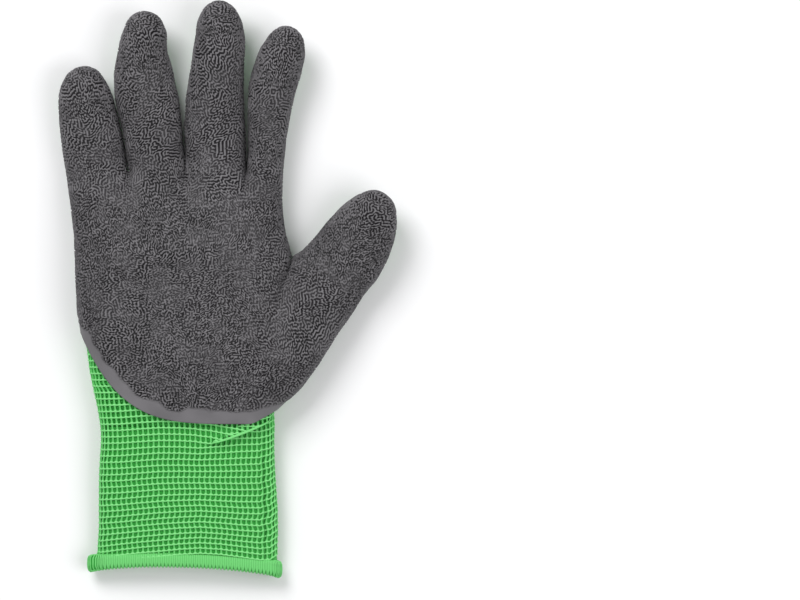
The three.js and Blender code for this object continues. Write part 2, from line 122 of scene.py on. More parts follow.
class KnitSettings(bpy.types.PropertyGroup):
    """Sizes and colours of the green knit."""

    wales: IntProperty(name="Wales", description="Stitches round the cuff", default=76)
    ridge: FloatProperty(
        name="Ridge thread", description="Half the width of a raised row", default=0.40 * MM, unit="LENGTH"
    )
    strand: FloatProperty(
        name="Strand", description="Half the width of an upright strand", default=0.47 * MM, unit="LENGTH"
    )
    bright: FloatVectorProperty(
        name="Ridges", description="Colour of the raised rows", subtype="COLOR", default=(0.22, 0.70, 0.23)
    )
    green: FloatVectorProperty(
        name="Strands", description="Colour of the strands", subtype="COLOR", default=(0.1, 0.5, 0.115)
    )
    # Partly the green of the knit behind, partly painted shade: the holes are drawn dark for the shadow in
    # them
    deep: FloatVectorProperty(
        name="Holes", description="Colour deep in the holes", subtype="COLOR", default=(0.018, 0.3, 0.03)
    )


class StageSettings(bpy.types.PropertyGroup):
    """Camera and lights."""

    distance: FloatProperty(
        name="Camera distance", description="Height of the camera over the floor", default=2.6, unit="LENGTH"
    )
    key: FloatProperty(name="Key light", description="Power of the main light", default=13.5, unit="POWER")
    fill: FloatProperty(name="Fill light", description="Power of the second light", default=9.0, unit="POWER")
    sky: FloatProperty(name="Sky", description="Strength of the even light all round", default=0.5)
    floor: FloatVectorProperty(
        name="Floor", description="Colour of the floor", subtype="COLOR", default=(0.86, 0.86, 0.87)
    )


def new_material(name, **inputs):
    """A material, its tree and its shader with some inputs set. In their names _ is a space."""
    material = bpy.data.materials.new(name)
    material.use_nodes = True
    shader = material.node_tree.nodes["Principled BSDF"]
    for key, value in inputs.items():
        shader.inputs[key.replace("_", " ")].default_value = value
    return material, material.node_tree, shader


def add_node(tree, kind, *inputs, **values):
    """A shader node with its settings, and with another's output or a plain value in its inputs."""
    node = tree.nodes.new("ShaderNode" + kind)
    for key, value in (*values.items(), *enumerate(inputs)):
        if isinstance(key, str) and key not in node.inputs:
            setattr(node, key, value)
        elif isinstance(value, bpy.types.NodeSocket):
            tree.links.new(value, node.inputs[key])
        else:
            node.inputs[key].default_value = value
    return node


def rgba(colour, strength=1.0):
    """A colour setting as the four numbers of a socket, made lighter or darker."""
    return (*[value * strength for value in colour], 1.0)


def add_ramp(tree, value, *stops):
    """The colour of a ramp through three or more stops, each a position and a colour."""
    ramp = add_node(tree, "ValToRGB", Fac=value)
    elements = ramp.color_ramp.elements
    for element, (position, colour) in zip(elements, (stops[0], stops[-1])):
        element.position = position
        element.color = colour
    for position, colour in stops[1:-1]:
        elements.new(position).color = colour
    return ramp.outputs["Color"]


def add_noise(tree, **values):
    """Noise that lies in the object's own coordinates."""
    place = add_node(tree, "TexCoord").outputs["Object"]
    return add_node(tree, "TexNoise", Vector=place, **values).outputs["Fac"]


def add_range(tree, value, low, high, to_low=0.0, to_high=1.0, kind="LINEAR"):
    """A value between low and high, carried over to a new range and held at its ends."""
    inputs = {"Value": value, "From Min": low, "From Max": high, "To Min": to_low, "To Max": to_high}
    return add_node(tree, "MapRange", interpolation_type=kind, **inputs).outputs["Result"]


def add_math(tree, operation, *values):
    """The result of a sum on outputs and plain numbers."""
    return add_node(tree, "Math", *values, operation=operation).outputs["Value"]


def add_mix(tree, share, first, second):
    """A mix of two colours."""
    mix = add_node(tree, "Mix", data_type="RGBA", Factor=share, A=first, B=second)
    return mix.outputs["Result"]


def add_bump(tree, shader, height, strength, distance):
    """Lets a height bend the light on a shader's surface."""
    bump = add_node(tree, "Bump", Height=height, Strength=strength, Distance=distance)
    tree.links.new(bump.outputs["Normal"], shader.inputs["Normal"])


def merged_copy(name):
    """A CAD node's mesh with its loose triangles merged, as a bmesh."""
    bm = bmesh.new()
    bm.from_mesh(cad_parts[name].data)
    bmesh.ops.remove_doubles(bm, verts=bm.verts, dist=1e-6)
    bm.verts.index_update()
    return bm


def made_mesh(name, bm):
    """The mesh of a bmesh, which is freed."""
    mesh = bpy.data.meshes.new(name)
    bm.to_mesh(mesh)
    bm.free()
    return mesh


def finish_piece(name, mesh, material, slot, *nodes):
    """Makes a piece's object with its material, hangs it on the root body, and hides the CAD nodes that it
    stands for.
    """
    mesh.shade_smooth()
    piece = bpy.data.objects.new(name, mesh)
    bpy.context.scene.collection.objects.link(piece)
    mesh.materials.append(material)
    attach(piece, "root")
    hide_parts(*nodes)


def coordinates(bm):
    """The vertices of a bmesh as an array."""
    return np.array([vertex.co for vertex in bm.verts])


def edge_pairs(edges):
    """Both ends of each edge, as an array of vertex numbers."""
    return np.array([[vertex.index for vertex in edge.verts] for edge in edges])


def both_ways(pairs):
    """Each edge from either end, in the order of the vertex that it starts from."""
    ends = np.concatenate([pairs, pairs[:, ::-1]])
    return ends[np.argsort(ends[:, 0], kind="stable")]


class Neighbours:
    """Sums over the neighbours of each vertex of a mesh."""

    def __init__(self, count, pairs):
        self.here, self.near = both_ways(pairs).T
        self.starts = np.searchsorted(self.here, np.arange(count))
        self.degree = np.bincount(self.here, minlength=count)

    def mean(self, values):
        """The mean of the values at each vertex's neighbours."""
        total = np.add.reduceat(values[self.near], self.starts, axis=0)
        return total / (self.degree if values.ndim == 1 else self.degree[:, None])

    def squared_length(self, places):
        """The mean squared length of the edges at each vertex."""
        gaps = ((places[self.near] - places[self.here]) ** 2).sum(axis=1)
        return np.add.reduceat(gaps, self.starts) / self.degree


def even_mesh(bm, longest):
    """Splits the edges of a sheet until none is longer than asked, and makes triangles of it."""
    for _ in range(7):
        long_edges = [edge for edge in bm.edges if edge.calc_length() > longest]
        if not long_edges:
            break
        bmesh.ops.subdivide_edges(bm, edges=long_edges, cuts=1, use_grid_fill=True)
        bmesh.ops.triangulate(bm, faces=[face for face in bm.faces if len(face.verts) > 4])
    bmesh.ops.triangulate(bm, faces=bm.faces)
    bm.verts.index_update()


def relaxed(places, around, fixed, rounds):
    """Places smoothed towards their neighbours, with the fixed ones left where they are."""
    free = ~fixed[:, None]
    for _ in range(rounds):
        places = np.where(free, places + 0.5 * (around.mean(places) - places), places)
    return places


def grow_crinkles(places, around, spacing, seed, steps):
    """Grows a maze of stripes over a mesh: 1 on the ridges and -1 in the grooves."""
    wave = (spacing / (2.0 * math.pi)) ** 2
    reach = np.minimum(4.0 * wave / around.squared_length(places), 1.7)
    pattern = np.random.default_rng(seed).normal(0.0, 0.3, len(places))
    for axis, number in ((0, seed + 1), (1, seed + 2)):
        bend = 1.6 * soft_noise(places, 7.0 * MM, number + 4)
        stripes = np.cos(places[:, axis] * (2.0 * math.pi / spacing) + bend)
        patch = smooth_step(0.4, 0.75, soft_noise(places, 5.0 * MM, number))
        pattern = pattern + 0.25 * patch * stripes
    grain = 0.08 * soft_noise(places, 1.1 * spacing, seed + 9)
    for _ in range(steps):
        once = pattern + reach * (around.mean(pattern) - pattern)
        twice = once + reach * (around.mean(once) - once)
        pattern = pattern + 0.22 * (0.45 * pattern - twice - pattern**3 + grain)
    return np.clip(pattern / 0.75, -1.0, 1.0)


def smooth_rim(bm, places, rounds):
    """Smooths the open edges of a sheet along themselves."""
    ends = both_ways(edge_pairs([edge for edge in bm.edges if edge.is_boundary]))
    here, near = ends[::2, 0], ends[:, 1].reshape(-1, 2)
    for _ in range(rounds):
        places[here] = 0.5 * places[here] + 0.25 * (places[near[:, 0]] + places[near[:, 1]])
    return places


def soft_noise(places, size, seed):
    """Smooth noise from -1 to 1 with features of about the size asked, a sum of plain waves."""
    source = np.random.default_rng(seed)
    total = np.zeros(len(places))
    for _ in range(14):
        direction = source.normal(0.0, 1.0, 3)
        direction /= np.linalg.norm(direction)
        length = size * source.uniform(0.7, 1.6)
        total += np.sin(places @ direction * (2.0 * math.pi / length) + source.uniform(0.0, 6.28))
    return np.clip(total / 3.6, -1.0, 1.0)


def along_loop(loop, positions):
    """Places on a closed loop. A function of its length gives their distances from its start."""
    closed = np.vstack([loop, loop[:1]])
    along = np.concatenate([[0.0], np.cumsum(np.linalg.norm(np.diff(closed, axis=0), axis=1))])
    spots = positions(along[-1]) % along[-1]
    return np.stack([np.interp(spots, along, values) for values in closed.T], axis=1)


def unit(vectors):
    """Vectors with their lengths made 1."""
    return vectors / np.linalg.norm(vectors, axis=-1, keepdims=True)


def vertex_tree(vertices):
    """A search tree over vertices."""
    tree = KDTree(len(vertices))
    for vertex in vertices:
        tree.insert(vertex.co, vertex.index)
    tree.balance()
    return tree


def surface_tree(*names):
    """A search tree over the surfaces of CAD nodes."""
    bm = bmesh.new()
    for name in names:
        bm.from_mesh(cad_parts[name].data)
    tree = BVHTree.FromBMesh(bm)
    bm.free()
    return tree


def set_places(bm, places):
    """Moves the vertices of a bmesh."""
    for vertex, place in zip(bm.verts, places):
        vertex.co = place


def latex_material(settings):
    """Dull grey latex: painted highlights on the ridge tops, painted shade in the grooves, and a fine skin of
    its own.
    """
    material, tree, shader = new_material("latex_grey", Roughness=0.62, Specular_IOR_Level=0.35)
    height = add_node(tree, "Attribute", attribute_name="crinkle").outputs["Fac"]
    plain = add_node(tree, "Attribute", attribute_name="plain").outputs["Fac"]
    specks = add_range(tree, add_noise(tree, Scale=520.0, Detail=1.0), 0.3, 0.7, -0.16, 0.16)
    uneven = add_math(tree, "ADD", height, specks)
    # The ramp paints shade into the grooves and a painted highlight onto the ridge tops, by the crinkles'
    # height
    groove, painted_highlight = rgba(settings.groove), rgba(settings.colour, 1.6)
    crinkled = add_ramp(tree, uneven, (0.3, groove), (0.7, rgba(settings.colour)), (0.95, painted_highlight))
    banded = add_mix(tree, plain, crinkled, rgba(settings.colour, 1.45))
    patches = add_range(tree, add_noise(tree, Scale=70.0, Detail=2.0), 0.3, 0.7, 0.86, 1.12)
    tint = add_node(tree, "VectorMath", banded, operation="SCALE", Scale=patches)
    tree.links.new(tint.outputs["Vector"], shader.inputs["Base Color"])
    add_bump(tree, shader, add_noise(tree, Scale=1400.0, Detail=3.0, Roughness=0.6), 0.35, 0.06 * MM)
    return material


# The coat's inside is what lies this near the liner, or a little farther off and turned to it
TOUCHING = 0.45 * MM
WALL = 0.9 * MM

# How far the rim turns down, how deep a groove can be, and the least height of the lower edge
LIP = 1.15 * MM
DEEPEST = 0.75 * MM
LOWER_EDGE = 8 * MM

# The rounds that smooth the coat's rim and its sheet, and that grow the crinkles
RIM_ROUNDS = 24
SHEET_ROUNDS = 30
GROWTH = 220

# The thumb stays whole at the cut. The fingertips are pixels of the photograph
THUMB_SIDE = 45 * MM
FINGERTIPS = ((87, 85), (140, 30), (217, 20), (285, 45), (375, 205))


def outer_sheet(longest):
    """The outside of the CAD coat, as a fine and even sheet."""
    bm = merged_copy("latex_coat")
    liner = surface_tree(*LINER_NODES)
    bm.normal_update()
    inner = []
    for vertex in bm.verts:
        place, _, _, gap = liner.find_nearest(vertex.co)
        facing = (place - vertex.co).dot(vertex.normal) > 0.0
        web = vertex.normal.y > 0.9
        if not web and (gap < TOUCHING or (gap < WALL and facing)):
            inner.append(vertex)
    bmesh.ops.delete(bm, geom=inner, context="VERTS")
    bmesh.ops.join_triangles(bm, faces=bm.faces, angle_face_threshold=3.1, angle_shape_threshold=3.1)
    even_mesh(bm, longest)
    return bm


def rim_distances(bm):
    """How far each vertex is from the coat's lower edge, and from its edges at the sides."""
    rim = [(v, v.co.z > LOWER_EDGE and v.co.y < 0) for v in bm.verts if v.is_boundary]
    for wanted in (True, False):
        tree = vertex_tree([vertex for vertex, is_low in rim if is_low == wanted])
        yield np.array([tree.find(vertex.co)[2] for vertex in bm.verts])


def crinkle_strength(places, margin, to_low, to_side):
    """How strong the crinkles are: 0 on the plain band, about 1 on the palm, more at the tips."""
    edge = margin * (1.0 + 0.25 * soft_noise(places, 9 * MM, 3))
    strength = smooth_step(edge, edge + 1.6 * MM, to_low) * smooth_step(0.2 * MM, 1.6 * MM, to_side)
    calm = soft_noise(places, 13 * MM, 11)
    strength *= 0.85 + 0.35 * smooth_step(-0.7, 0.6, calm)
    tips = [photo_point(*tip) for tip in FINGERTIPS]
    to_tip = np.min([np.hypot(places[:, 0] - tip.x, places[:, 1] - tip.y) for tip in tips], axis=0)
    return strength * (1.0 + 0.3 * (1.0 - smooth_step(6 * MM, 24 * MM, to_tip)))


def turn_down_rim(bm):
    """Adds a lip that goes down from the sheet's open edges to the liner."""
    rims = [edge for edge in bm.edges if edge.is_boundary]
    under = bmesh.ops.extrude_edge_only(bm, edges=rims)["geom"]
    lower = {item for item in under if isinstance(item, bmesh.types.BMVert)}
    for vertex in lower:
        above = [e.other_vert(vertex) for e in vertex.link_edges if e.other_vert(vertex) not in lower]
        if above:
            vertex.co -= above[0].normal * LIP


class GLOVE_OT_latex_coat(bpy.types.Operator):
    """Make the crinkled latex coat"""

    bl_idname = "glove.latex_coat"
    bl_label = "Latex coat"

    def execute(self, context):
        """Makes the fine mesh of the coat, crinkles it, and cuts it in two pieces."""
        settings = context.scene.glove_latex
        bm = outer_sheet(settings.edge * 1.42)
        places = coordinates(bm)
        around = Neighbours(len(places), edge_pairs(bm.edges))
        rim = np.array([v.is_boundary for v in bm.verts])
        if not rim.any():
            raise RuntimeError("the outside of the coat has no open edge")
        places = relaxed(smooth_rim(bm, places, RIM_ROUNDS), around, rim, SHEET_ROUNDS)
        set_places(bm, places)
        to_low, to_side = rim_distances(bm)

        steps = GROWTH
        pattern = grow_crinkles(places, around, settings.spacing, 7, steps)
        strength = crinkle_strength(places, settings.margin, to_low, to_side)
        ridge = np.tanh(2.3 * (pattern + 0.22))
        pits = smooth_step(0.1, 0.6, soft_noise(places, 3.5 * MM, 23)) * np.minimum(ridge, 0.0)
        height = (0.85 * ridge + 0.6 * pits) * strength
        rise = np.maximum(height * settings.depth / 2.0, -DEEPEST)
        bm.normal_update()
        normals = np.array([vertex.normal for vertex in bm.verts])
        set_places(bm, places + normals * rise[:, None])
        for name, values in (("crinkle", 0.5 + 0.5 * height), ("plain", 1.0 - np.minimum(strength, 1.0))):
            layer = bm.verts.layers.float.new(name)
            for vertex, value in zip(bm.verts, values):
                vertex[layer] = value
        bm.normal_update()
        normal = bm.verts.layers.float_vector.new("coat_normal")
        turn_down_rim(bm)
        bm.normal_update()
        for vertex in bm.verts:
            vertex[normal] = vertex.normal

        material = latex_material(settings)
        for name, side in (("latex_palm", 1.0), ("latex_fingers", -1.0)):
            part = bm.copy()
            middles = [(f, f.calc_center_median()) for f in part.faces]
            gone = [f for f, m in middles if side * (m.y - settings.cut if m.x < THUMB_SIDE else -1.0) > 0]
            bmesh.ops.delete(part, geom=gone, context="FACES")
            mesh = made_mesh(name, part)
            finish_piece(name, mesh, material, "latex", "latex_coat")
            normals = np.zeros(3 * len(mesh.vertices), np.float32)
            mesh.attributes["coat_normal"].data.foreach_get("vector", normals)
            mesh.attributes.remove(mesh.attributes["coat_normal"])
            mesh.normals_split_custom_set_from_vertices(normals.reshape(-1, 3))
        bm.free()
        return {"FINISHED"}


class Sections:
    """Cuts a closed mesh of triangles with planes. It frees the bmesh that it is given."""

    def __init__(self, bm):
        bm.edges.index_update()
        self.places = coordinates(bm)
        self.edges = edge_pairs(bm.edges)
        self.faces = np.array([[edge.index for edge in face.edges] for face in bm.faces])
        bm.free()

    def loops(self, middle, normal):
        """The loops in which a plane cuts the mesh, each as its places in order."""
        height = (self.places - middle) @ normal + 1e-8
        low, high = height[self.edges].T
        crossed = low * high < 0
        near = {}
        for face in self.faces[crossed[self.faces].sum(axis=1) == 2]:
            one, two = face[crossed[face]]
            near.setdefault(one, []).append(two)
            near.setdefault(two, []).append(one)
        if not near:
            raise RuntimeError(f"a plane through {middle} misses the mesh")
        while near:
            here = next(iter(near))
            chain = []
            while here is not None:
                chain.append(here)
                ways = near.pop(here)
                here = next((way for way in ways if way in near), None)
            share = (low[chain] / (low[chain] - high[chain]))[:, None]
            first, second = self.places[self.edges[chain].T]
            yield first * (1 - share) + second * share


def way_round(loop):
    """The length of a closed loop."""
    return np.linalg.norm(loop - np.roll(loop, 1, axis=0), axis=1).sum()


def unrolled(loop, positions):
    """Places on a closed loop, as along_loop, from its left edge on over the front."""
    middle = 0.5 * (loop[:, 1].min() + loop[:, 1].max())
    left = loop[:, 0] < loop[:, 0].mean()
    start = np.argmin(np.where(left, np.abs(loop[:, 1] - middle), 1.0))
    loop = np.roll(loop, -start, axis=0)
    if loop[len(loop) // 4, 1] < middle:
        loop = np.roll(loop[::-1], 1, axis=0)
    return along_loop(loop, positions)


# The tuck under the coat, and the crease on the thumb's side, as pixels of the photograph
TUCK_X = (206.0, 217.6, 232.0, 248.0, 263.5, 280.0)
TUCK_Y = (445.5, 442.0, 437.0, 430.6, 424.0, 415.0)
CREASE_X = (263.0, 265.0, 266.5)
CREASE_Y = (440.0, 500.0, 560.0)


def fold_relief(x, y):
    """How far the front of the cuff stands up beside the tuck, or sinks in its groove and in the crease."""
    px, py = x / PHOTO_PIXEL + PHOTO_MIDDLE[0], PHOTO_MIDDLE[1] - y / PHOTO_PIXEL
    over = (np.interp(px, TUCK_X, TUCK_Y) - py) * 0.92
    along = smooth_step(200.0, 222.0, px) * (1.0 - smooth_step(262.0, 276.0, px))
    lip = 1.5 * MM * np.exp(-((over / 7.0) ** 2)) * smooth_step(-0.6, 0.6, over)
    groove = -0.9 * MM * np.exp(-((over / 3.0) ** 2)) * smooth_step(0.6, -0.6, over)
    beside = (px - np.interp(py, CREASE_Y, CREASE_X)) / 2.3
    crease = -0.8 * MM * np.exp(-beside * beside) * smooth_step(436.0, 446.0, py)
    return along * (lip + groove) + crease


# A strand's width at a row, and one and two thirds of the way down to the next
STRAND_WIDTHS = np.array([1.8, 0.9, 1.15])


class KnitSkin:
    """The outer skin of the cuff and the hand, unrolled into wales and levels.

    Wale 0 is at the left edge, and the numbers rise over the front. Up to the wrist the wales
    share out the way round. Above it they keep their width, and the back counts down from 0.
    """

    # Points of the table in a wale, and the wales of the front above the wrist
    PER_WALE = 12
    FRONT_WALES = 17

    # Heights: the table's ends and step, the seam of cuff and hand, the wrist, and the lowest thread
    BOTTOM = -109.6 * MM
    TOP = 48.0 * MM
    STEP = 1.25 * MM
    SEAM = -60.5 * MM
    SEAM_BAND = (-62.2 * MM, -58.8 * MM)
    WRIST = -52.0 * MM
    HEM_LINE = -116.0 * MM

    def __init__(self, wales):
        self.wales = wales
        count = wales * self.PER_WALE
        self.levels = np.arange(self.BOTTOM, self.TOP, self.STEP)
        self.levels = self.levels[(self.levels < self.SEAM_BAND[0]) | (self.levels > self.SEAM_BAND[1])]
        cuff, hand = Sections(merged_copy("knit_cuff")), Sections(merged_copy("knit_palm"))
        share = np.arange(count) / count
        step = None
        rows = []
        for level in self.levels:
            source = cuff if level < self.SEAM else hand
            loop = max(source.loops((0.0, level + 1.8e-7, 0.0), UPWARD), key=way_round)[:, [0, 2]]
            if level < self.WRIST:
                row = unrolled(loop, lambda length: share * length)
                step = np.median(np.linalg.norm(np.diff(row, axis=0), axis=1))
            else:
                near = np.where(share * wales < self.FRONT_WALES, share, share - 1.0) * count * step
                row = unrolled(loop, lambda length: near)
            rows.append(row)
        table = np.array(rows)
        even = np.arange(self.levels[0], self.levels[-1], self.STEP)
        spot = np.interp(even, self.levels, np.arange(len(self.levels)))
        below = np.minimum(spot.astype(int), len(self.levels) - 2)
        part = (spot - below)[:, None, None]
        table = table[below] * (1 - part) + table[below + 1] * part
        self.levels = even
        for _ in range(14):
            table = 0.5 * table + 0.25 * (np.roll(table, 5, axis=1) + np.roll(table, -5, axis=1))
        for _ in range(2):
            table[1:-1] = 0.5 * table[1:-1] + 0.25 * (table[2:] + table[:-2])
        self.table = table

    def skin(self, wale, y):
        """The x and z of the skin at wales and levels."""
        column = (wale % self.wales) * self.PER_WALE
        left = column.astype(int)
        right = (left + 1) % self.table.shape[1]
        across = (column - left)[..., None]
        row = np.clip((y - self.levels[0]) / self.STEP, 0, len(self.levels) - 1.001)
        low = row.astype(int)
        up = (row - low)[..., None]
        bottom = self.table[low, left] * (1 - across) + self.table[low, right] * across
        top = self.table[low + 1, left] * (1 - across) + self.table[low + 1, right] * across
        return bottom * (1 - up) + top * up

    def place(self, wale, y, depth):
        """Places a depth under the skin and its folds, with the ways outward and sideways there."""
        here = self.skin(wale, y)
        side = self.skin(wale + 0.5, y) - self.skin(wale - 0.5, y)
        above = self.skin(wale, y + 1.5 * MM) - self.skin(wale, y - 1.5 * MM)
        across = np.stack([side[..., 0], 0 * y, side[..., 1]], axis=-1)
        along = np.stack([above[..., 0], 0 * y + 3.0 * MM, above[..., 1]], axis=-1)
        out = unit(np.cross(across, along))
        spot = np.stack([here[..., 0], y, here[..., 1]], axis=-1)
        front = smooth_step(0.2, 0.7, out[..., 2])
        depth = depth - front * fold_relief(spot[..., 0], y)
        return spot - out * depth[..., None], out, unit(across)

    def level(self, row, wale, y, rounds):
        """The height of a row of knit at each wale, found in rounds from a first guess."""
        back = (wale < 0) | (wale > self.wales / 2)
        for _ in range(rounds):
            y = row_level(row, self.skin(wale, y)[:, 0], back)
        return np.maximum(y, self.HEM_LINE)


class Threads:
    """Collects many tubes and sheets into one mesh, with a shade for each point."""

    def __init__(self):
        self.places, self.faces, self.shades = [], [], []
        self.count = 0

    def add(self, grid, closed_rows, closed_columns, shade, caps=False):
        """Adds a grid of places as faces that look outward. Rows go along a tube, columns round it."""
        rows, columns = grid.shape[:2]
        numbers = np.arange(rows * columns).reshape(rows, columns) + self.count
        a = numbers if closed_rows else numbers[:-1]
        b = np.roll(numbers, -1, axis=0) if closed_rows else numbers[1:]
        if closed_columns:
            c, d = np.roll(b, -1, axis=1), np.roll(a, -1, axis=1)
        else:
            a, b, c, d = a[:, :-1], b[:, :-1], b[:, 1:], a[:, 1:]
        quads = np.stack([a, b, c, d], axis=-1).reshape(-1, 4)
        spots = grid.reshape(-1, 3)
        centred = spots - spots.mean(axis=0)
        first, second, third, fourth = (centred[quads[:, k] - self.count] for k in range(4))
        volume = (np.cross(first, second) * third).sum() + (np.cross(first, third) * fourth).sum()
        faces = quads.tolist()
        if caps:
            faces += [numbers[0].tolist(), numbers[-1][::-1].tolist()]
        self.faces.extend(faces if volume > 0 else [face[::-1] for face in faces])
        self.places.append(spots)
        self.shades.append(np.broadcast_to(shade, (rows, columns)).reshape(-1))
        self.count += rows * columns

    def tube(self, line, out, across, wide, high, sides, shade, closed=False):
        """Adds a tube along a line, with its own half width and half height at each point."""
        turn = np.arange(sides) * (2.0 * math.pi / sides) + math.pi / 2
        wide = np.broadcast_to(wide, len(line))[:, None, None]
        high = np.broadcast_to(high, len(line))[:, None, None]
        ring = (
            line[:, None]
            + across[:, None] * np.cos(turn)[None, :, None] * wide
            + out[:, None] * np.sin(turn)[None, :, None] * high
        )
        # Painted light: each thread is drawn lighter on its outer side and darker on its underside
        shades = np.broadcast_to(shade, len(line))[:, None] + 0.12 * np.sin(turn)[None, :]
        self.add(ring, closed, True, shades, caps=not closed)

    def finish(self, name, settings, slot, node):
        """Makes a piece of all that was added, with its shades as the attribute shade."""
        mesh = bpy.data.meshes.new(name)
        mesh.from_pydata(np.concatenate(self.places), [], self.faces)
        attribute = mesh.attributes.new("shade", "FLOAT", "POINT")
        attribute.data.foreach_set("value", np.concatenate(self.shades).astype(np.float32))
        finish_piece(name, mesh, knit_material(settings), slot, node)


# Rows of the cuff's knit, measured in the photograph: pixels across, and the heights of three rows
ROW_X = np.array([100, 120, 140, 160, 180, 200, 220, 240, 260, 270, 280], float)
ROW_TOP = np.array([449.8, 449.3, 447.8, 446.6, 446.8, 447.9, 446.5, 444.7, 444.2, 441.8, 434.5])
ROW_MIDDLE = np.array([505.9, 504.7, 502.9, 501.2, 500.3, 499.8, 500.7, 501.7, 501.8, 498.8, 491.5])
ROW_BOTTOM = np.array([552.6, 549.8, 547.5, 545.8, 544.0, 542.9, 544.1, 546.5, 548.8, 547.7, 541.0])
LAST_ROW = 17.0
MIDDLE_ROW = 9.0

# Above the tuck: pixels from row to row, and how far rows bend down towards it, by pixels across
PITCH_ABOVE = 6.35
DIP_X = (196.0, 210.0, 222.0, 235.0, 248.0)
DIP_Y = (0.0, 2.2, 5.2, 8.5, 11.0)


def row_level(row, x, back=False):
    """The height on the glove of a row of knit, 0 just below the tuck and 17 above the hem."""
    px = x / PHOTO_PIXEL + PHOTO_MIDDLE[0]
    top, middle, bottom = (
        np.where(back, np.interp(px, ROW_X[::10], heights[::10]), np.interp(px, ROW_X, heights))
        for heights in (ROW_TOP, ROW_MIDDLE, ROW_BOTTOM)
    )
    share = row / LAST_ROW
    half = MIDDLE_ROW / LAST_ROW
    turn = (middle - top - (bottom - top) * half) / (half * (half - 1.0))
    py = top + (bottom - top - turn) * share + turn * share * share
    py = np.where(row < 0, top + row * PITCH_ABOVE, py)
    dipped = py + np.interp(px, DIP_X, DIP_Y)
    bent = (row < 0) & (row > -7) & ~np.asarray(back) & (px < 250.0)
    py = np.where(bent & (dipped < np.interp(px, TUCK_X, TUCK_Y)), dipped, py)
    return (PHOTO_MIDDLE[1] - py) * PHOTO_PIXEL


# Raised rows: half their thickness, which is also their depth, then what they gain and lose from
# wale to wale in depth, height on the glove and width, and their shade with its own change
ROW_HIGH = 0.42 * MM
ROW_SINK = 0.08 * MM
ROW_SWAY = 0.15 * MM
ROW_SWELL = 0.18
# ROW_SHADE's change is a painted highlight: a row is drawn lighter where it stands out most
ROW_SHADE = (0.82, 0.1)

# The knit's first row, near the knuckles, and the first and last that belong to the cuff
FIRST_ROW = -40
FIRST_CUFF_ROW = -3
LAST_CUFF_ROW = 19

# Upright strands: half their thickness, their depth and shade, and their points in a course
STRAND_HIGH = 0.34 * MM
STRAND_DEPTH = 0.52 * MM
STRAND_SHADE = 0.46
PER_COURSE = 3

# The ground under the threads, drawn in the holes' dark green: partly the knit behind, partly painted shade
GROUND_DEPTH = 0.95 * MM


def raised_row(skin, settings, row, wale):
    """A raised row's line over the wales, its ways outward and up, its half widths and its shades."""
    y = skin.level(row, wale, row_level(row, 0.0), 2)
    wave = np.cos(2.0 * math.pi * wale)
    line, out, across = skin.place(wale, y + ROW_SWAY * wave, ROW_HIGH - ROW_SINK * wave)
    wide = settings.ridge * (1.0 + ROW_SWELL * wave)
    return line, out, np.cross(out, across), wide, ROW_SHADE[0] + ROW_SHADE[1] * wave


def strands(skin, settings, first, last, wales):
    """Each upright strand from one row to another: wale, height, line, ways out and across, widths."""
    rows = np.arange(first, last + 0.01, 1.0 / PER_COURSE)
    wide = settings.strand * STRAND_WIDTHS[np.rint(rows * PER_COURSE).astype(int) % PER_COURSE]
    for wale in wales:
        column = np.full(len(rows), float(wale))
        guess = row_level(0.0, 0.0) - rows * COURSE
        y = skin.level(rows, column, guess, 3)
        yield wale, y, *skin.place(column, y, STRAND_DEPTH), wide


def yarn_material(name, settings):
    """The soft shine of polyester yarn, as a material that has no colour yet."""
    sheen = rgba(settings.bright)
    return new_material(name, Roughness=0.6, Specular_IOR_Level=0.3, Sheen_Weight=0.15, Sheen_Tint=sheen)


def knit_material(settings):
    """Green polyester: bright raised rows, plainer strands, and dark holes whose dark green is partly painted
    shade; each thread's shade also holds painted light.
    """
    material, tree, shader = yarn_material("knit_green", settings)
    shade = add_node(tree, "Attribute", attribute_name="shade").outputs["Fac"]
    stops = (0.05, rgba(settings.deep)), (0.5, rgba(settings.green)), (0.95, rgba(settings.bright))
    tree.links.new(add_ramp(tree, shade, *stops), shader.inputs["Base Color"])
    add_bump(tree, shader, add_noise(tree, Scale=2600.0, Detail=2.0), 0.4, 0.08 * MM)
    return material


class GLOVE_OT_knit_cuff(bpy.types.Operator):
    """Make the open knit of the cuff, thread by thread"""

    bl_idname = "glove.knit_cuff"
    bl_label = "Cuff knit"

    def execute(self, context):
        """Lays the raised rows and the upright strands over a dark ground."""
        settings = context.scene.glove_knit
        skin = KnitSkin(settings.wales)
        threads = Threads()
        per_wale = 4
        wale = np.arange(settings.wales * per_wale) / per_wale
        for row in range(FIRST_CUFF_ROW, LAST_CUFF_ROW + 1):
            line, out, up, wide, shade = raised_row(skin, settings, row, wale)
            threads.tube(line, out, up, wide, ROW_HIGH, 6, shade, closed=True)
        wales = range(settings.wales)
        for _, _, line, out, across, wide in strands(skin, settings, FIRST_CUFF_ROW, LAST_CUFF_ROW, wales):
            threads.tube(line, out, across, wide, STRAND_HIGH, 5, STRAND_SHADE)
        wale = np.arange(settings.wales * 2) / 2
        columns, heights = np.meshgrid(wale, np.arange(-117.0, -58.0, 1.5) * MM)
        ground = skin.place(columns, heights, GROUND_DEPTH)[0]
        # Partly painted shade: the ground sheet takes the darkest shade, the dark green of the holes
        threads.add(ground, False, True, 0.0)
        threads.finish("cuff_threads", settings, "elastic_knit", "knit_cuff")
        return {"FINISHED"}


def runs(mask, spare):
    """The stretches of True in a mask, each with a few more entries at both ends."""
    wide = np.convolve(mask, np.ones(2 * spare + 1), "same") > 0
    ends = np.flatnonzero(np.diff(np.concatenate([[0], wide.astype(int), [0]])))
    return [slice(start, stop) for start, stop in zip(ends[::2], ends[1::2])]


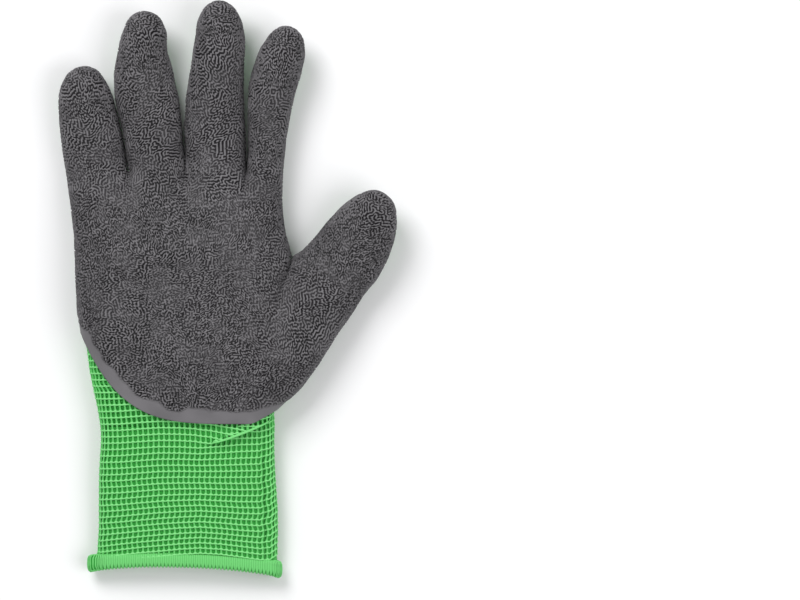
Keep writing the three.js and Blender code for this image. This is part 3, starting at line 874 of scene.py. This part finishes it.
# How far over a thread latex can lie, and the height below which the front can be bare
COAT_REACH = 3.5 * MM
HEEL = -15 * MM

# The lip of the tuck: its ends in pixels of the photograph, and its half width and height
LIP_ENDS = (212.0, 268.0)
LIP_POINTS = 60
LIP_SIZE = (0.6 * MM, 0.52 * MM)
LIP_DEPTH = 0.25 * MM


def tuck_lip(skin, threads):
    """Adds the rolled thread along the tuck, just under the latex."""
    px = np.linspace(*LIP_ENDS, LIP_POINTS)
    lip_x = (px - PHOTO_MIDDLE[0]) * PHOTO_PIXEL
    lip_y = (PHOTO_MIDDLE[1] + 0.8 - np.interp(px, TUCK_X, TUCK_Y)) * PHOTO_PIXEL
    search = np.linspace(10.0, 37.0, 200)
    wale = [np.interp(x, skin.skin(search, np.full(200, y))[:, 0], search) for x, y in zip(lip_x, lip_y)]
    line, out, _ = skin.place(np.array(wale), lip_y, LIP_DEPTH)
    along = unit(np.gradient(line, axis=0))
    fade = np.sin(np.linspace(0.12, math.pi - 0.12, LIP_POINTS)) ** 0.5
    threads.tube(line, out, np.cross(along, out), LIP_SIZE[0] * fade, LIP_SIZE[1] * fade, 8, 0.72)


def bare(tree, line, out):
    """Which points of a line have no latex over them, and lie on the back or below the palm."""
    hits = [tree.ray_cast(Vector(p), Vector(n), COAT_REACH)[0] for p, n in zip(line, out)]
    open_air = np.array([hit is None for hit in hits])
    return open_air & ((out[:, 2] < 0.3) | (line[:, 1] < HEEL))


class GLOVE_OT_knit_hand(bpy.types.Operator):
    """Make the open knit of the hand where the latex leaves it bare"""

    bl_idname = "glove.knit_hand"
    bl_label = "Hand knit"

    def execute(self, context):
        """Carries the rows and strands of the cuff on over the hand, up to the latex."""
        settings = context.scene.glove_knit
        skin = KnitSkin(settings.wales)
        coat = surface_tree("latex_coat")
        threads = Threads()
        half = skin.wales // 2
        far = skin.wales - skin.FRONT_WALES - 4
        per_wale = 3
        for row in range(FIRST_ROW, FIRST_CUFF_ROW):
            ends = (far, skin.FRONT_WALES - 4) if row < -5 else (half, half)
            wale = np.arange(-ends[0] * per_wale, ends[1] * per_wale) / per_wale
            line, out, up, wide, shade = raised_row(skin, settings, row, wale)
            for part in runs(bare(coat, line, out), per_wale):
                threads.tube(line[part], out[part], up[part], wide[part], ROW_HIGH, 6, shade[part])
        wales = range(-far, half)
        for wale, y, line, out, across, wide in strands(skin, settings, FIRST_ROW, FIRST_CUFF_ROW, wales):
            shown = bare(coat, line, out)
            if wale < -half:
                shown &= y > skin.WRIST + 1.5 * MM
            if wale > skin.FRONT_WALES - 5:
                shown &= y < skin.WRIST - 0.5 * MM
            for part in runs(shown, PER_COURSE):
                threads.tube(line[part], out[part], across[part], wide[part], STRAND_HIGH, 5, STRAND_SHADE)
        tuck_lip(skin, threads)
        threads.finish("hand_threads", settings, "knit", "knit_palm")
        return {"FINISHED"}


# Where the hand's threads end on the back, and the liner's own knit takes over
KNUCKLES = (41.0 * MM, 42.2 * MM)


def liner_material(settings):
    """The same knit drawn by its own map, for the fingers and under the threads."""
    material, tree, shader = yarn_material("knit_liner", settings)
    place = add_node(tree, "UVMap", uv_map="knit").outputs["UV"]
    parts = add_node(tree, "SeparateXYZ", Vector=place)
    turns = [add_math(tree, "MULTIPLY", parts.outputs[axis], 2.0 * math.pi) for axis in "XY"]
    waves = [add_range(tree, add_math(tree, "COSINE", turn), -1.0, 1.0) for turn in turns]
    high = add_math(tree, "SMOOTH_MAX", *waves, 0.3)
    solid = add_range(tree, high, 0.3, 0.75, kind="SMOOTHSTEP")
    ridge = add_range(tree, waves[1], 0.72, 0.98, kind="SMOOTHSTEP")
    # The drawn knit's holes take the dark hole colour, partly painted shade
    woven = add_mix(tree, solid, rgba(settings.deep), rgba(settings.green))
    woven = add_mix(tree, ridge, woven, rgba(settings.bright))

    # Partly painted shade: below the knuckles, under the hand's threads, the liner is drawn in the holes'
    # dark green
    under = add_node(tree, "Attribute", attribute_name="under_threads").outputs["Fac"]
    spot = add_node(tree, "TexCoord").outputs["Object"]
    level = add_node(tree, "SeparateXYZ", Vector=spot)
    below = add_range(tree, level.outputs["Y"], KNUCKLES[1], KNUCKLES[0])
    ground = add_mix(tree, add_math(tree, "MULTIPLY", under, below), woven, rgba(settings.deep))
    tree.links.new(ground, shader.inputs["Base Color"])
    add_bump(tree, shader, add_math(tree, "ADD", solid, ridge), 0.8, 0.3 * MM)
    return material


# How near a finger's root lies to the palm, how far the palm sinks, and where that fades out
SEAM_GAP = 0.35 * MM
SUNK = 1.15 * MM
SUNK_ENDS = (38 * MM, 45 * MM)

# Where the liner sinks farther: a pixel of the photograph, the reach and the depth
THUMB_CLEFT = (293, 262)
CLEFT_REACH = 9 * MM
CLEFT_SUNK = 0.6 * MM


def open_rim(bm, root):
    """Removes the ring of faces that closes the wall of a tube where it meets another."""
    rim = [face for face in bm.faces if all(vertex in root for vertex in face.verts)]
    bmesh.ops.delete(bm, geom=rim, context="FACES")


def map_knit(bm, along, plain, threaded):
    """Maps the knit along a tube, and marks what lies under the threads."""
    layer = bm.loops.layers.uv.new("knit")
    under = bm.verts.layers.float.new("under_threads")
    for vertex in bm.verts:
        vertex[under] = 1.0 if threaded and vertex not in plain else 0.0
        x, y = vertex.co.x, vertex.co.y
        across = (x * along.y - y * along.x) / WALE
        up = (x * along.x + y * along.y) / COURSE
        for loop in vertex.link_loops:
            loop[layer].uv = (across, up)


def add_to(whole, bm):
    """Adds one bmesh to another and frees it."""
    mesh = made_mesh("part", bm)
    whole.from_mesh(mesh)
    bpy.data.meshes.remove(mesh)


class GLOVE_OT_liner(bpy.types.Operator):
    """Make the knitted liner of the hand and the fingers"""

    bl_idname = "glove.liner"
    bl_label = "Liner"

    def execute(self, context):
        """Joins the liner's nodes, sinks the palm under its threads, and maps the knit on each."""
        settings = context.scene.glove_knit
        palm = merged_copy("knit_palm")
        palm.verts.ensure_lookup_table()
        tree = vertex_tree(palm.verts)
        whole = bmesh.new()
        roots = []
        for name in LINER_NODES[1:]:
            bm = merged_copy(name)
            spread = np.linalg.eigh(np.cov(coordinates(bm)[:, :2].T))[1][:, 1]
            root, near = set(), set()
            for vertex in bm.verts:
                place, index, gap = tree.find(vertex.co)
                if gap < SEAM_GAP:
                    vertex.co = place
                    root.add(vertex)
                    near.add(palm.verts[index])
            if not root:
                raise RuntimeError(f"{name} doesn't meet the palm")
            roots.append(near)
            open_rim(bm, root)
            map_knit(bm, Vector(spread) * (1.0 if spread[1] > 0 else -1.0), set(), False)
            add_to(whole, bm)

        heights = coordinates(palm)[:, 2]
        centre_z = 0.5 * (heights.min() + heights.max()) - 2 * MM
        palm.normal_update()
        seams = set().union(*roots)
        cleft = photo_point(*THUMB_CLEFT)
        for vertex, normal in [(v, v.normal.copy()) for v in palm.verts if v not in seams]:
            if (vertex.co.xy - cleft.xy).length < CLEFT_REACH:
                vertex.co -= normal * CLEFT_SUNK
            if normal.z * (vertex.co.z - centre_z) + normal.x * (vertex.co.x + 5 * MM) * 0.2 > 0:
                fade = 1.0 - smooth_step(*SUNK_ENDS, vertex.co.y)
                away = Vector((normal.x, 0.0, normal.z)).normalized()
                vertex.co -= away * (SUNK * float(fade))
        for near in roots:
            open_rim(palm, near)
        map_knit(palm, Vector((0.0, 1.0)), seams, True)
        add_to(whole, palm)
        bmesh.ops.remove_doubles(whole, verts=whole.verts, dist=0.01 * MM)
        mesh = made_mesh("liner", whole)
        finish_piece("liner", mesh, liner_material(settings), "knit", *LINER_NODES)
        return {"FINISHED"}


# The hem: its wraps, the points round each, its middle, and where the cuff gives the way outward
WRAPS = 218
TURNS = 20
HEM_MIDDLE = -117.0 * MM
HEM_TOP = -112.0 * MM
HEM_DEPTH = 0.6 * MM
WRAP_HIGH = 0.34 * MM
WRAP_WIDE = 0.41 * MM
WRAP_LEAN = 0.2 * MM

# The strip that joins the hem to the cuff reaches up to here
JOIN_TOP = -110.5 * MM


class GLOVE_OT_hem(bpy.types.Operator):
    """Make the overlocked hem"""

    bl_idname = "glove.hem"
    bl_label = "Hem"

    def execute(self, context):
        """Winds thread round the band of the hem, in pairs that close towards its lower edge."""
        settings = context.scene.glove_knit
        ring = Sections(merged_copy("cuff_hem"))
        skin = KnitSkin(settings.wales)
        wale = np.arange(WRAPS) * (settings.wales / WRAPS)
        middle, out, across = skin.place(wale, np.full(WRAPS, HEM_TOP), HEM_DEPTH)
        middle[:, 1] = HEM_MIDDLE
        flat = unit(across * (1.0, 0.0, 1.0))
        even = np.linspace(-math.pi, math.pi, TURNS, endpoint=False)
        below = smooth_step(0.7, 0.95, -np.sin(even))
        threads = Threads()
        band, centres = [], []
        for index in range(WRAPS):
            loops = ring.loops(middle[index], flat[index])
            loop = min(loops, key=lambda places: np.linalg.norm(places.mean(axis=0) - middle[index]))
            centre = loop.mean(axis=0)
            loop = along_loop(loop, lambda length: np.linspace(0.0, length, 60, endpoint=False))
            angle = np.arctan2(loop[:, 1] - centre[1], (loop - centre) @ out[index])
            full = 2.0 * math.pi
            loop = np.stack([np.interp(even, angle, values, period=full) for values in loop.T], axis=1)
            band.append(loop)
            centres.append(centre)
            lean = WRAP_LEAN * (1.0 if index % 2 else -1.0) * below
            line = loop + flat[index] * lean[:, None]
            away = unit(line - centre)
            line = line - away * 0.1 * MM
            side = np.broadcast_to(flat[index], line.shape)
            wide = WRAP_WIDE * (1.0 - 0.2 * below)
            # Painted shade: each wrap is drawn darker where it turns under the hem's lower edge
            threads.tube(line, away, side, wide, WRAP_HIGH, 5, 0.66 - 0.1 * below, closed=True)
        band = np.array(band)
        inner = band + (band.mean(axis=1, keepdims=True) - band) * 0.12
        # Partly painted shade: the band inside the wraps is drawn dark green, and shows dark in the gaps
        # between the pairs
        threads.add(inner, True, True, 0.12)
        # Partly painted shade: the strip from the hem up to the cuff is drawn a darker green
        join, _, _ = skin.place(wale, np.full(WRAPS, JOIN_TOP), GROUND_DEPTH)
        threads.add(np.stack([np.array(centres), join]), False, True, 0.3)
        threads.finish("hem_threads", settings, "hem_thread", "cuff_hem")
        return {"FINISHED"}


class GLOVE_OT_stage(bpy.types.Operator):
    """Make the floor, the lights and the camera"""

    bl_idname = "glove.stage"
    bl_label = "Stage"

    def execute(self, context):
        """Makes the floor, the lights and the camera of the photograph."""
        settings = context.scene.glove_stage
        middle = photo_point(PHOTO_SIZE[0] / 2, PHOTO_SIZE[1] / 2)
        bpy.ops.mesh.primitive_plane_add(size=4.0, location=(middle.x, middle.y, -0.2 * MM))
        floor = context.object
        floor.name = "floor"
        paper, _, _ = new_material("floor_paper", Base_Color=rgba(settings.floor), Roughness=0.9)
        floor.data.materials.append(paper)

        for name, place, size, power in (
            ("key", (-0.5, 0.75, 1.1), 0.7, settings.key),
            ("fill", (0.9, -0.3, 1.2), 1.0, settings.fill),
        ):
            bpy.ops.object.light_add(type="AREA", location=place)
            light = context.object
            light.name = name
            light.data.size = size
            light.data.energy = power
            light.rotation_euler = (-Vector(place)).to_track_quat("-Z", "Y").to_euler()

        world = bpy.data.worlds.new("studio")
        world.use_nodes = True
        background = world.node_tree.nodes["Background"]
        background.inputs["Color"].default_value = (1.0, 1.0, 1.0, 1.0)
        background.inputs["Strength"].default_value = settings.sky
        context.scene.world = world
        context.scene.view_settings.view_transform = "Standard"

        bpy.ops.object.camera_add(location=(middle.x, middle.y, settings.distance))
        camera = context.object
        mid_height = 0.5 * (CAD_BOX[0].z + CAD_BOX[1].z)
        seen = PHOTO_SIZE[0] * PHOTO_PIXEL
        camera.data.lens = camera.data.sensor_width * (settings.distance - mid_height) / seen
        camera.data.clip_end = 20.0
        context.scene.camera = camera
        return {"FINISHED"}


class GLOVE_PT_panel(bpy.types.Panel):
    """Lists the steps that make the glove"""

    bl_idname = "GLOVE_PT_panel"
    bl_label = "Gardening glove"
    bl_space_type = "VIEW_3D"
    bl_region_type = "UI"
    bl_category = "Glove"

    def draw(self, context):
        """Draws the settings and a button for each step."""
        for name, operators in STEPS.items():
            settings = getattr(context.scene, name)
            for key in settings.__annotations__:
                self.layout.prop(settings, key)
            for operator in operators:
                self.layout.operator(operator.bl_idname)


STEPS = {
    "glove_latex": (GLOVE_OT_latex_coat,),
    "glove_knit": (GLOVE_OT_knit_cuff, GLOVE_OT_knit_hand, GLOVE_OT_liner, GLOVE_OT_hem),
    "glove_stage": (GLOVE_OT_stage,),
}
GROUPS = {"glove_latex": LatexSettings, "glove_knit": KnitSettings, "glove_stage": StageSettings}
CLASSES = (*GROUPS.values(), *(step for steps in STEPS.values() for step in steps), GLOVE_PT_panel)


def register():
    """Registers the settings, the operators and the panel."""
    for kind in CLASSES:
        bpy.utils.register_class(kind)
    for name, group in GROUPS.items():
        setattr(bpy.types.Scene, name, PointerProperty(type=group))


def unregister():
    """Takes them all away again."""
    for name in GROUPS:
        delattr(bpy.types.Scene, name)
    for kind in reversed(CLASSES):
        bpy.utils.unregister_class(kind)


def main():
    """Makes every piece and the stage."""
    register()
    bpy.ops.glove.latex_coat()
    bpy.ops.glove.knit_cuff()
    bpy.ops.glove.knit_hand()
    bpy.ops.glove.liner()
    bpy.ops.glove.hem()
    bpy.ops.glove.stage()


if __name__ == "__main__":
    main()
